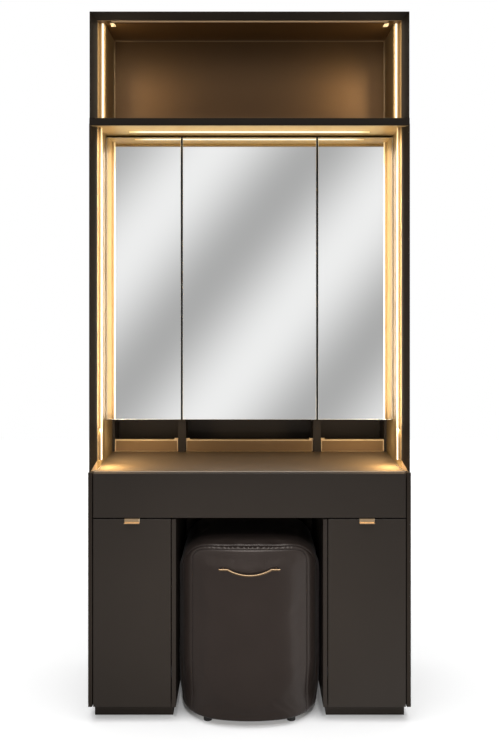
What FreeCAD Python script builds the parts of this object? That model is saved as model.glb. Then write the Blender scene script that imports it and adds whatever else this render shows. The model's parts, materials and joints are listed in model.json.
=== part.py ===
import FreeCAD, Part
import math
import os
import re

import Sketcher
from FreeCAD import Rotation, Vector

# Wall-type makeup table with a lit mirror hutch, an open display cubby and its own stool.
# Millimetres and degrees. +Z is up, the front faces -Y, and the origin is on the floor under the
# middle of the whole set. Distances "back" are measured from the front plane of the base.
SIZES = {
    # base
    "base_width": 970,
    "base_depth": 420,
    "desk_height": 750,
    "desk_thick": 22,
    "desk_chamfer": 1.5,
    "side_thick": 12,
    "kneehole_width": 443,
    "plinth_height": 47,
    "plinth_setback": 45,
    "plinth_board": 16,
    "floor_thick": 12,
    "deck_thick": 12,
    "back_thick": 6,
    # drawer and pull-out fronts
    "front_thick": 18,
    "front_ease": 0.8,
    "reveal": 3,
    "front_play": 2,
    "apron_drop": 2,
    "apron_height": 133,
    "apron_gap": 4,
    # boxes and slides behind the fronts
    "slide_space": 13,
    "slide_height": 32,
    "slide_wall": 1.6,
    "slide_play": 0.6,
    "slide_length": 350,
    "box_board": 12,
    "box_bottom": 6,
    "drawer_depth": 360,
    "drawer_wall": 80,
    "drawer_lift": 6,
    "pullout_depth": 370,
    "pullout_wall": 150,
    "pullout_lift": 8,
    "pullout_headroom": 44,
    "tray_level": 300,
    "tray_lip": 30,
    "tab_width": 46,
    "tab_height": 13,
    "tab_sheet": 2,
    "tab_lip": 6,
    "tab_ease": 1.5,
    # hutch
    "panel_thick": 18,
    "hutch_back": 15,
    "bevel_depth": 30,
    "bevel_flat": 2,
    "shelf_height": 1803,
    "shelf_back": 18,
    "shelf_lip": 5.5,
    "shelf_lip_depth": 20,
    "wall_screw": 2.5,
    "wall_screw_offset": 350,
    "wall_screw_drop": 60,
    # mirrors and the cabinet behind them
    "mirror_back": 196,
    "mirror_height": 129.5,
    "mirror_head": 7,
    "mirror_side": 1.5,
    "glass_thick": 4,
    "glass_ease": 1,
    "board_thick": 16,
    "wing_rest": 1,
    "wing_joint": 220,
    "joint_gap": 6,
    "divider_thick": 26,
    "cabinet_floor_height": 135,
    "cabinet_floor_thick": 15,
    "wing_shelf_thick": 8,
    "wing_shelf_setback": 8,
    # piano hinges between the wings and the middle mirror
    "hinge_radius": 2.5,
    "hinge_depth": 2.3,
    "hinge_pin": 1.2,
    "hinge_fit": 0.05,
    "hinge_press": 0.02,
    "leaf_thick": 0.8,
    "leaf_depth": 14,
    "knuckles": 7,
    "knuckle_gap": 0.6,
    # niche under the mirrors
    "niche_back": 320,
    "niche_end": 8,
    "niche_divider_shift": 10,
    "rail_height": 41,
    "rail_thick": 12,
    "rail_setback": 3.5,
    "rail_ease": 2,
    "rail_stop_width": 13,
    "rail_stop_height": 4,
    # cubby
    "cubby_back": 22,
    "cubby_height": 305.5,
    "cubby_panel_back": 250,
    "cubby_panel": 6,
    "lining_thick": 19,
    "lining_setback": 58,
    "bead": 3,
    "ceiling_bar_inset": 42.5,
    "ceiling_bar_width": 5,
    "ceiling_bar_height": 3,
    "ceiling_bar_setback": 33,
    "bar_clip_width": 14,
    "bar_clip_length": 30,
    "bar_clip_gap": 8.5,
    # lights
    "shelf_light_back": 134,
    "side_light_back": 75,
    "side_light_lift": 25,
    "cubby_light_inset": 7.5,
    "light_radius": 3.7,
    "light_channel_width": 9,
    "light_channel_depth": 7,
    "light_channel_wall": 1.5,
    "light_tape": 1.2,
    "light_tape_play": 0.4,
    "shelf_light_inset": 86,
    "driver_length": 180,
    "driver_width": 60,
    "driver_height": 34,
    "driver_offset": 150,
    "driver_gap": 49,
    "grommet_radius": 20,
    "grommet_bore": 16,
    "grommet_fit": 0.05,
    "grommet_flange": 3,
    "grommet_offset": 300,
    "grommet_level": 90,
    # stool
    "stool_width": 429,
    "stool_depth": 390,
    "stool_lead": 41,
    "stool_front_radius": 450,
    "stool_side_flat": 40,
    "stool_headroom": 58,
    "stool_crown": 12,
    "stool_shoulder": 66,
    "stool_edge": 20,
    "stool_foot_draw": 6,
    "stool_padding": 25,
    "stool_seat_padding": 70,
    "stool_board": 15,
    "stool_post": 36,
    "stool_post_spread": 110,
    "stool_post_inset": 75,
    "stool_cover_play": 0.5,
    "foot_height": 19,
    "foot_radius": 13,
    "foot_spread": 126,
    "foot_inset": 62,
    "handle_drop": 77,
    "handle_span": 180,
    "handle_end": 23,
    "handle_sag": 15,
    "handle_bar": 3,
    "handle_stem": 2.5,
    "handle_stand": 9,
    "handle_bow": 8,
    "handle_bend": 9,
}
ALIAS = re.compile(r"\b(" + "|".join(SIZES) + r")\b")

doc = FreeCAD.newDocument("makeup_table")
dims = doc.addObject("Spreadsheet::Sheet", "dims")
for row, (alias, value) in enumerate(SIZES.items(), start=1):
    dims.set(f"A{row}", str(value))
    dims.setAlias(f"A{row}", alias)
doc.recompute()

subparts = []


def formula(text):
    """A formula in size names, as one that reads the sheet."""
    return ALIAS.sub(r"dims.\1", str(text))


def size(alias):
    """The sheet's number for one size, for the few shapes made in code."""
    return float(dims.get(alias))


def node(label, shape):
    """Mark an object as a finished piece under its own name."""
    shape.Label = label
    subparts.append(shape)
    return shape


def block(name, x, y, z):
    """A board between two bounds along each axis; the bounds are formulas."""
    board = doc.addObject("Part::Box", name)
    for length, axis, (low, high) in zip(("Length", "Width", "Height"), "xyz", (x, y, z)):
        board.setExpression(length, formula(f"({high}) - ({low})"))
        board.setExpression(f"Placement.Base.{axis}", formula(low))
    return board


def rod(name, radius, along, low, high, at, half=None):
    """A round bar along an axis; half is the turn that aims a half-round one."""
    bar = doc.addObject("Part::Cylinder", name)
    turn = {"x": Rotation(Vector(0, 1, 0), 90), "y": Rotation(Vector(1, 0, 0), -90), "z": Rotation()}[along]
    if half is not None:
        bar.Angle = 180
        turn = turn.multiply(Rotation(Vector(0, 0, 1), half))
    bar.Placement.Rotation = turn
    bar.setExpression("Radius", formula(radius))
    bar.setExpression("Height", formula(f"({high}) - ({low})"))
    for axis in "xyz":
        bar.setExpression(f"Placement.Base.{axis}", formula(low if axis == along else at[axis]))
    return bar


def cut(name, base, *tools):
    """The base with each tool taken out of it in turn."""
    for count, tool in enumerate(tools, start=1):
        last = count == len(tools)
        piece = doc.addObject("Part::Cut", name if last else f"{name}_cut_{count}")
        piece.Base = base
        piece.Tool = tool
        base = piece
    return base


def fused(name, base, tool):
    """Two touching solids as one."""
    piece = doc.addObject("Part::Fuse", name)
    piece.Base = base
    piece.Tool = tool
    piece.Refine = True
    return piece


def group(name, *pieces):
    """Separate solids that share one node."""
    together = doc.addObject("Part::Compound", name)
    together.Links = list(pieces)
    return together


def eased(name, base, amount, keep=lambda edge: True):
    """The base with a small chamfer along the edges that keep picks."""
    doc.recompute()
    edges = [index for index, edge in enumerate(base.Shape.Edges, start=1) if keep(edge)]
    piece = doc.addObject("Part::Chamfer", name)
    piece.Base = base
    piece.Edges = [(index, size(amount), size(amount)) for index in edges]
    return piece


def eased_front(name, base, amount):
    """The base with a small chamfer round its front face."""
    doc.recompute()
    front = base.Shape.BoundBox.YMin
    return eased(name, base, amount, lambda edge: edge.BoundBox.YMax < front + 1e-6)


def body_sketch(body, name, plane, offset):
    """A sketch on one of the body's own planes, moved along the plane's normal."""
    sketch = body.newObject("Sketcher::SketchObject", name)
    support = next(item for item in body.Origin.OriginFeatures if item.Role == plane)
    sketch.AttachmentSupport = [(support, "")]
    sketch.MapMode = "FlatFace"
    sketch.setExpression("AttachmentOffset.Base.z", formula(offset))
    return sketch


def polygon(sketch, corners):
    """A closed outline whose corners are formulas, each fixed from the sketch's origin."""
    count = len(corners)
    for turn in range(count):
        start, end = (Vector(math.cos(a), math.sin(a), 0) * 100
                      for a in (2 * math.pi * turn / count, 2 * math.pi * (turn + 1) / count))
        sketch.addGeometry(Part.LineSegment(start, end))
    for turn in range(count):
        sketch.addConstraint(Sketcher.Constraint("Coincident", turn, 2, (turn + 1) % count, 1))
    for turn, corner in enumerate(corners):
        for kind, place in zip(("DistanceX", "DistanceY"), corner):
            index = sketch.addConstraint(Sketcher.Constraint(kind, -1, 1, turn, 1, 100.0))
            sketch.setExpression(f"Constraints[{index}]", formula(place))


def extruded(name, plane, corners, low, high):
    """A body padded from a polygon, between two places along the plane's axis."""
    body = doc.addObject("PartDesign::Body", name)
    start = f"-({high})" if plane == "XZ_Plane" else low
    sketch = body_sketch(body, f"{name}_outline", plane, start)
    polygon(sketch, corners)
    pad = body.newObject("PartDesign::Pad", f"{name}_pad")
    pad.Profile = sketch
    pad.setExpression("Length", formula(f"({high}) - ({low})"))
    return body


SIDES = ("left", "right")


def span(side, inner, outer):
    """Bounds along X for a piece between two distances from the middle, on one side."""
    return (inner, outer) if side == "right" else (f"-({outer})", f"-({inner})")


def sign(side):
    return "1" if side == "right" else "-1"


def both(distance):
    return f"-({distance})", distance


# Places that several pieces share
HANDLE_REACH = "(handle_stand + handle_bow + handle_bar)"
FRONT = f"((stool_lead + {HANDLE_REACH} - base_depth) / 2)"
BACK = f"({FRONT} + base_depth)"
INSIDE_BACK = f"({BACK} - back_thick)"
BEHIND_FRONTS = f"({FRONT} + front_thick + front_play)"
HALF = "(base_width / 2)"
BASE_INNER = f"({HALF} - side_thick)"
KNEE = "(kneehole_width / 2)"
PEDESTAL_INNER = f"({KNEE} + side_thick)"
APRON_TOP = "(desk_height - apron_drop)"
APRON_LOW = f"({APRON_TOP} - apron_height)"
DECK_DROPS = ("apron_drop", "apron_height", "apron_gap")
DECK_LOW = f"(desk_height - {' - '.join(DECK_DROPS)})"
DECK_TOP = f"({DECK_LOW} + deck_thick)"
WALL = f"({HALF} - panel_thick)"
SHELF_TOP = "(shelf_height + panel_thick)"
CEILING = f"({SHELF_TOP} + cubby_height)"
TOP = f"({CEILING} + panel_thick)"
MIRROR_FRONT = f"({FRONT} + mirror_back)"
BOARD_FRONT = f"({MIRROR_FRONT} + glass_thick)"
BOARD_BACK = f"({BOARD_FRONT} + board_thick)"
MIRROR_LOW = "(desk_height + mirror_height)"
MIRROR_TOP = "(shelf_height - mirror_head)"
CABINET_LOW = "(desk_height + cabinet_floor_height)"
CABINET_FLOOR = f"({CABINET_LOW} + cabinet_floor_thick)"
STOOL_FRONT = f"({FRONT} - stool_lead)"
STOOL_TOP = f"({DECK_LOW} - stool_headroom)"

# Half-round diffusers are aimed by a turn about their own axis; this one faces down
SHELF_LIGHT_TURN = -90
# The crown starts where the shoulders have turned this far in, and rises over these shares of the top
CROWN_RIM = 0.85
CROWN_SHARES = (1.0, 0.5)


def base_carcass():
    """Side panels, pedestals, plinths, back, drawer deck and desktop."""
    for side in SIDES:
        node(f"base_{side}_side", block(f"base_{side}_side", span(side, BASE_INNER, HALF),
                                        (FRONT, BACK), ("plinth_height", "desk_height")))
        node(f"{side}_pedestal_side", block(f"{side}_pedestal_side", span(side, KNEE, PEDESTAL_INNER),
                                            (FRONT, INSIDE_BACK), ("plinth_height", DECK_LOW)))
    between = [span(side, PEDESTAL_INNER, BASE_INNER) for side in SIDES]
    floors = [block(f"{side}_floor_board", x, (BEHIND_FRONTS, INSIDE_BACK),
                    ("plinth_height", "plinth_height + floor_thick")) for side, x in zip(SIDES, between)]
    node("pedestal_floors", group("pedestal_floors", *floors))
    plinth_front = f"({FRONT} + plinth_setback)"
    cross_boards = {"front": (plinth_front, f"{plinth_front} + plinth_board"),
                    "rear": (f"{INSIDE_BACK} - plinth_board", INSIDE_BACK)}
    long_y = (cross_boards["front"][1], cross_boards["rear"][0])
    plinths = []
    for side, (low, high) in zip(SIDES, between):
        for end, y in cross_boards.items():
            plinths.append(block(f"{side}_plinth_{end}", (low, high), y, ("0", "plinth_height")))
        for end, x in (("low", (low, f"{low} + plinth_board")), ("high", (f"{high} - plinth_board", high))):
            plinths.append(block(f"{side}_plinth_{end}_x", x, long_y, ("0", "plinth_height")))
    node("plinths", group("plinths", *plinths))
    node("base_back", block("base_back", both(BASE_INNER), (INSIDE_BACK, BACK),
                            ("plinth_height", "desk_height")))
    inside = (BEHIND_FRONTS, INSIDE_BACK)
    node("drawer_deck", block("drawer_deck", both(BASE_INNER), inside, (DECK_LOW, DECK_TOP)))
    slab = block("desk_slab", both(BASE_INNER), inside, ("desk_height - desk_thick", "desk_height"))
    top = size("desk_height")
    node("desktop", eased("desktop", slab, "desk_chamfer",
                          lambda edge: edge.BoundBox.ZMin > top - 1e-6))


def slide_pair(name, side, wall, level):
    """A fixed channel on a panel and the bar that runs in it, for one side of a box."""
    outer, inner = f"({wall})", f"({wall} - slide_space)"
    low, high = f"({level} - slide_height / 2)", f"({level} + slide_height / 2)"
    y = (BEHIND_FRONTS, f"{BEHIND_FRONTS} + slide_length")
    shell = block(f"{name}_shell", span(side, f"{inner} + slide_play", outer), y, (low, high))
    groove = block(f"{name}_groove", span(side, f"{inner} + slide_play", f"{outer} - slide_wall"), y,
                   (f"{low} + slide_wall", f"{high} - slide_wall"))
    bar = block(f"{name}_bar", span(side, inner, f"{outer} - slide_wall - slide_play"), y,
                (f"{low} + slide_wall + slide_play", f"{high} - slide_wall - slide_play"))
    return cut(f"{name}_channel", shell, groove), bar


def vanity_drawer():
    """The wide drawer under the desktop."""
    front = block("drawer_front_board", both(f"{BASE_INNER} - reveal"), (FRONT, f"{FRONT} + front_thick"),
                  (APRON_LOW, APRON_TOP))
    node("drawer_front", eased("drawer_front", front, "front_ease"))
    outside = f"({BASE_INNER} - slide_space)"
    inside = f"({outside} - box_board)"
    start = f"({FRONT} + front_thick)"
    end = f"({FRONT} + drawer_depth)"
    low = f"({DECK_TOP} + drawer_lift)"
    floor = f"({low} + box_bottom)"
    high = f"({low} + drawer_wall)"
    walls = [block(f"drawer_{side}_wall", span(side, inside, outside), (start, end), (low, high))
             for side in SIDES]
    walls.append(block("drawer_rear_wall", both(inside), (f"{end} - box_board", end), (low, high)))
    node("drawer_walls", group("drawer_walls", *walls))
    node("drawer_bottom", block("drawer_bottom", both(inside), (start, f"{end} - box_board"), (low, floor)))
    pairs = [slide_pair(f"drawer_{side}_slide", side, BASE_INNER, f"({low} + drawer_wall / 2)")
             for side in SIDES]
    node("drawer_slide_bars", group("drawer_slide_bars", *[bar for channel, bar in pairs]))
    return [channel for channel, bar in pairs]


def tab_pull(name, middle):
    """A bent-sheet pull: a flange on the front's top edge, a drop with eased ends and an out-turned lip."""
    edge = f"({DECK_LOW} + tab_sheet)"
    out = f"({FRONT} - tab_sheet)"
    foot = f"({edge} - tab_height)"
    corners = [
        (f"{FRONT} + front_thick - tab_sheet", DECK_LOW), (f"{FRONT} + front_thick - tab_sheet", edge),
        (out, edge), (out, f"{foot} + tab_sheet"), (f"{out} - tab_lip", f"{foot} + tab_sheet / 2"),
        (f"{out} - tab_lip", f"{foot} - tab_sheet / 2"), (FRONT, foot), (FRONT, DECK_LOW),
    ]
    sheet = extruded(f"{name}_sheet", "YZ_Plane", corners,
                     f"{middle} - tab_width / 2", f"{middle} + tab_width / 2")
    doc.recompute()
    uprights = [edge.BoundBox for edge in sheet.Shape.Edges if edge.BoundBox.ZLength > 2 * size("tab_sheet")]
    drop = min(bounds.YMax for bounds in uprights if bounds.XLength < 1e-6)
    return eased(name, sheet, "tab_ease", lambda edge: edge.BoundBox.ZLength > 2 * size("tab_sheet")
                 and edge.BoundBox.YMax < drop + 1e-6)


def pullout(side):
    """A tall pull-out: front, tab pull, box with an upper tray, and its slides."""
    name = f"{side}_pullout"
    x = span(side, f"{PEDESTAL_INNER} + reveal", f"{BASE_INNER} - reveal")
    front = block(f"{name}_front_board", x, (FRONT, f"{FRONT} + front_thick"), ("plinth_height", DECK_LOW))
    node(f"{name}_front", eased(f"{name}_front", front, "front_ease"))
    middle = f"({sign(side)} * ({PEDESTAL_INNER} + {BASE_INNER}) / 2)"
    node(f"{side}_tab_pull", tab_pull(f"{side}_tab_pull", middle))
    near, far = f"({PEDESTAL_INNER} + slide_space)", f"({BASE_INNER} - slide_space)"
    start, end = f"({FRONT} + front_thick)", f"({FRONT} + pullout_depth)"
    low = "(plinth_height + floor_thick + pullout_lift)"
    floor = f"({low} + box_bottom)"
    clear = (start, f"{end} - box_board")
    inside = span(side, f"{near} + box_board", f"{far} - box_board")
    tray = f"({low} + tray_level)"
    pieces = [
        block(f"{name}_near_wall", span(side, near, f"{near} + box_board"), (start, end),
              (low, f"{low} + pullout_wall")),
        block(f"{name}_far_wall", span(side, f"{far} - box_board", far), (start, end),
              (low, f"{low} + pullout_wall")),
        block(f"{name}_bottom", inside, clear, (low, floor)),
        block(f"{name}_rear", inside, (f"{end} - box_board", end), (low, f"{DECK_LOW} - pullout_headroom")),
        block(f"{name}_tray", inside, clear, (tray, f"{tray} + box_bottom")),
    ]
    for edge, (lip_low, lip_high) in (("near", (near, f"{near} + box_board")),
                                      ("far", (f"{far} - box_board", far))):
        pieces.append(block(f"{name}_tray_{edge}_lip", span(side, lip_low, lip_high), (start, end),
                            (tray, f"{tray} + tray_lip")))
    node(f"{name}_box", group(f"{name}_box", *pieces))
    level = f"({low} + pullout_wall / 2)"
    mirror_side = "left" if side == "right" else "right"
    far_channel, far_bar = slide_pair(f"{name}_far_slide", side, BASE_INNER, level)
    near_channel, near_bar = slide_pair(f"{name}_near_slide", mirror_side, f"-({PEDESTAL_INNER})", level)
    node(f"{name}_slide_bars", group(f"{name}_slide_bars", far_bar, near_bar))
    return [far_channel, near_channel]


lights = {"light_channels": [], "light_tapes": [], "light_diffusers": []}


def light(name, along, bounds, face, middle, facing):
    """Add a channel with its tape and half-round diffuser; returns its outside, to cut a groove with.

    along is the channel's axis, face the plane of its rim, as an axis and a formula, middle its centre
    line on the third axis, and facing the diffuser's turn and the sign of the way into the channel.
    """
    face_axis, surface = face
    third = next(axis for axis in "xyz" if axis not in (along, face_axis))
    half, inward = facing

    def slot(label, width, near, far):
        near, far = (f"({surface} + {inward} * ({depth}))" for depth in (near, far))
        places = {along: bounds, third: (f"{middle} - ({width}) / 2", f"{middle} + ({width}) / 2"),
                  face_axis: (near, far) if inward == "1" else (far, near)}
        return block(label, places["x"], places["y"], places["z"])

    outer = slot(f"{name}_outside", "light_channel_width", "0", "light_channel_depth")
    clear = "light_channel_width - 2 * light_channel_wall"
    floor = "light_channel_depth - light_channel_wall"
    hollow = slot(f"{name}_inside", clear, "0", floor)
    lights["light_channels"].append(cut(f"{name}_channel", outer, hollow))
    lights["light_tapes"].append(slot(f"{name}_tape", f"{clear} - 2 * light_tape_play",
                                      f"{floor} - light_tape", floor))
    lights["light_diffusers"].append(rod(f"{name}_diffuser", "light_radius", along, *bounds,
                                         {face_axis: surface, third: middle}, half))
    return outer


def hutch():
    """Bevelled sides, the shelf, the back, the cabinet behind the mirrors and the niche."""
    start = f"({FRONT} + hutch_back)"
    for side in SIDES:
        k = sign(side)
        corners = [
            (f"{k} * {HALF}", start), (f"{k} * {HALF}", BACK), (f"{k} * {WALL}", BACK),
            (f"{k} * {WALL}", f"{start} + bevel_depth"), (f"{k} * ({HALF} - bevel_flat)", start),
        ]
        node(f"hutch_{side}_side", extruded(f"hutch_{side}_side", "XY_Plane", corners,
                                            "desk_height", "shelf_height"))
        facing = (90, "1") if side == "right" else (-90, "-1")
        light(f"hutch_{side}_light", "z", ("desk_height + side_light_lift", "shelf_height"),
              ("x", f"({k} * ({WALL} - light_channel_depth))"), f"({FRONT} + side_light_back)", facing)
    board = block("shelf_board", both(HALF), (f"{FRONT} + shelf_back", BACK), ("shelf_height", SHELF_TOP))
    lip_backs = ("shelf_back", "(shelf_back + shelf_lip_depth)")
    (near, near_y), (far, far_y) = [
        (f"({HALF} - bevel_flat - ({back} - hutch_back) * (panel_thick - bevel_flat) / bevel_depth)",
         f"{FRONT} + {back}") for back in lip_backs]
    lip = extruded("shelf_front_lip", "XY_Plane",
                   [(f"-{near}", near_y), (near, near_y), (far, far_y), (f"-{far}", far_y)],
                   "shelf_height - shelf_lip", "shelf_height")
    groove = light("shelf_light", "x", both(f"{WALL} - shelf_light_inset"), ("z", "shelf_height"),
                   f"({FRONT} + shelf_light_back)", (SHELF_LIGHT_TURN, "1"))
    node("hutch_shelf", cut("hutch_shelf", fused("lipped_shelf", board, lip), groove))

    sheet = block("hutch_back_sheet", both(WALL), (INSIDE_BACK, BACK), ("desk_height", "shelf_height"))
    screws = [rod(f"wall_screw_{side}", "wall_screw", "y", INSIDE_BACK, BACK,
                  {"x": f"{sign(side)} * wall_screw_offset", "z": "shelf_height - wall_screw_drop"})
              for side in SIDES]
    node("hutch_back", cut("hutch_back", sheet, *screws))
    node("cabinet_floor", block("cabinet_floor", both(WALL), (BOARD_BACK, INSIDE_BACK),
                                (CABINET_LOW, CABINET_FLOOR)))
    divider = ("wing_joint - divider_thick / 2", "wing_joint + divider_thick / 2")
    uprights = [block(f"{side}_cabinet_divider", span(side, *divider), (BOARD_BACK, INSIDE_BACK),
                      (CABINET_FLOOR, "shelf_height")) for side in SIDES]
    node("cabinet_dividers", group("cabinet_dividers", *uprights))
    shelf_count = 3
    pitch = f"((shelf_height - {CABINET_FLOOR}) / {shelf_count + 1})"
    shelves = []
    for side in SIDES:
        for count in range(1, shelf_count + 1):
            level = f"({CABINET_FLOOR} + {count} * {pitch})"
            shelves.append(block(f"{side}_wing_shelf_{count}", span(side, divider[1], WALL),
                                 (f"{BOARD_BACK} + wing_shelf_setback", INSIDE_BACK),
                                 (level, f"{level} + wing_shelf_thick")))
    node("wing_shelves", group("wing_shelves", *shelves))

    niche = f"({FRONT} + niche_back)"
    inner, outer = (f"({face} + niche_divider_shift)" for face in divider)
    partitions = []
    for side in SIDES:
        for label, x in (("niche_divider", (inner, outer)), ("niche_end", (f"{WALL} - niche_end", WALL))):
            partitions.append(block(f"{side}_{label}", span(side, *x), (niche, INSIDE_BACK),
                                    ("desk_height", CABINET_LOW)))
    node("niche_partitions", group("niche_partitions", *partitions))
    rail_back = f"{niche} + rail_setback + rail_thick"
    rail_top = "desk_height + rail_height"
    wing_stop = (outer, f"{outer} + rail_stop_width")
    middle_stop = (f"{inner} - rail_stop_width", inner)
    bays = {"middle": (both(inner), [span(side, *middle_stop) for side in SIDES])}
    for side in SIDES:
        bays[side] = (span(side, outer, f"{WALL} - niche_end"), [span(side, *wing_stop)])
    rails = []
    for bay, (x, stops) in bays.items():
        board = block(f"{bay}_rail_board", x, (f"{niche} + rail_setback", rail_back),
                      ("desk_height", rail_top))
        rail = eased_front(f"{bay}_eased_rail", board, "rail_ease")
        for count, stop_x in enumerate(stops, start=1):
            stop = block(f"{bay}_rail_stop_{count}", stop_x,
                         (f"{niche} + rail_setback + rail_ease", rail_back),
                         (rail_top, f"{rail_top} + rail_stop_height"))
            rail = fused(f"{bay}_rail_{count}", rail, stop)
        rails.append(rail)
    node("niche_rails", group("niche_rails", *rails))


def mirror(name, x, back):
    """A mirror glass with eased front edges, on its backing board."""
    z = (MIRROR_LOW, MIRROR_TOP)
    pane = block(f"{name}_pane", x, (MIRROR_FRONT, BOARD_FRONT), z)
    node(f"{name}_glass", eased_front(f"{name}_glass", pane, "glass_ease"))
    node(f"{name}_board", block(f"{name}_board", x, (BOARD_FRONT, back), z))


def hinge_leaf(name, side, first, count, fixed):
    """One leaf of a piano hinge: a plate on a mirror's edge and every other knuckle."""
    k = sign(side)
    axis_x, axis_y = f"({k} * wing_joint)", f"({MIRROR_FRONT} + hinge_depth)"
    edge = f"({k} * (wing_joint {'-' if fixed else '+'} joint_gap / 2))"
    inner = f"({k} * (wing_joint {'-' if fixed else '+'} (joint_gap / 2 - leaf_thick)))"
    pitch = f"(({MIRROR_TOP} - {MIRROR_LOW}) / knuckles)"
    bore = "hinge_pin + hinge_press" if fixed else "hinge_pin + hinge_fit"
    low = f"({MIRROR_LOW} + {first} * {pitch} + knuckle_gap / 2)"

    body = doc.addObject("PartDesign::Body", name)
    ring = body_sketch(body, f"{name}_ring", "XY_Plane", low)
    for radius in ("hinge_radius", bore):
        circle = ring.addGeometry(Part.Circle(Vector(), Vector(0, 0, 1), 1 if radius == bore else 2))
        for kind, place in zip(("DistanceX", "DistanceY"), (axis_x, axis_y)):
            index = ring.addConstraint(Sketcher.Constraint(kind, -1, 1, circle, 3, 100.0))
            ring.setExpression(f"Constraints[{index}]", formula(place))
        index = ring.addConstraint(Sketcher.Constraint("Radius", circle, 2.0))
        ring.setExpression(f"Constraints[{index}]", formula(radius))
    knuckle = body.newObject("PartDesign::Pad", f"{name}_knuckle")
    knuckle.Profile = ring
    knuckle.setExpression("Length", formula(f"{pitch} - knuckle_gap"))
    root = f"({axis_y} + hinge_radius + knuckle_gap / 2)"
    web_outline = body_sketch(body, f"{name}_web_outline", "XY_Plane", low)
    polygon(web_outline, [(edge, axis_y), (edge, root), (inner, root), (inner, axis_y)])
    web = body.newObject("PartDesign::Pad", f"{name}_web")
    web.Profile = web_outline
    web.setExpression("Length", formula(f"{pitch} - knuckle_gap"))
    row = body.newObject("PartDesign::LinearPattern", f"{name}_knuckles")
    row.Originals = [knuckle, web]
    row.Direction = (ring, ["N_Axis"])
    row.Occurrences = count
    row.setExpression("Length", formula(f"2 * {count - 1} * {pitch}"))
    body.Tip = row

    plate = body_sketch(body, f"{name}_plate_outline", "XY_Plane", MIRROR_LOW)
    far = f"({axis_y} + leaf_depth)"
    polygon(plate, [(edge, root), (edge, far), (inner, far), (inner, root)])
    leaf = body.newObject("PartDesign::Pad", f"{name}_plate")
    leaf.Profile = plate
    leaf.setExpression("Length", formula(f"{MIRROR_TOP} - {MIRROR_LOW}"))
    body.Tip = leaf
    return body


def mirrors():
    """The fixed middle mirror, the two wings and the piano hinges that carry them."""
    mirror("middle_mirror", both("wing_joint - joint_gap / 2"), BOARD_BACK)
    pins = []
    knuckles = int(size("knuckles"))
    for side in SIDES:
        mirror(f"{side}_mirror", span(side, "wing_joint + joint_gap / 2", f"{WALL} - mirror_side"),
               f"{BOARD_BACK} - wing_rest")
        node(f"{side}_hinge_fixed_leaf",
             hinge_leaf(f"{side}_hinge_fixed_leaf", side, 0, (knuckles + 1) // 2, True))
        node(f"{side}_hinge_wing_leaf",
             hinge_leaf(f"{side}_hinge_wing_leaf", side, 1, knuckles // 2, False))
        pins.append(rod(f"{side}_hinge_pin", "hinge_pin", "z", MIRROR_LOW, MIRROR_TOP,
                        {"x": f"{sign(side)} * wing_joint", "y": f"{MIRROR_FRONT} + hinge_depth"}))
    node("hinge_pins", group("hinge_pins", *pins))


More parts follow.
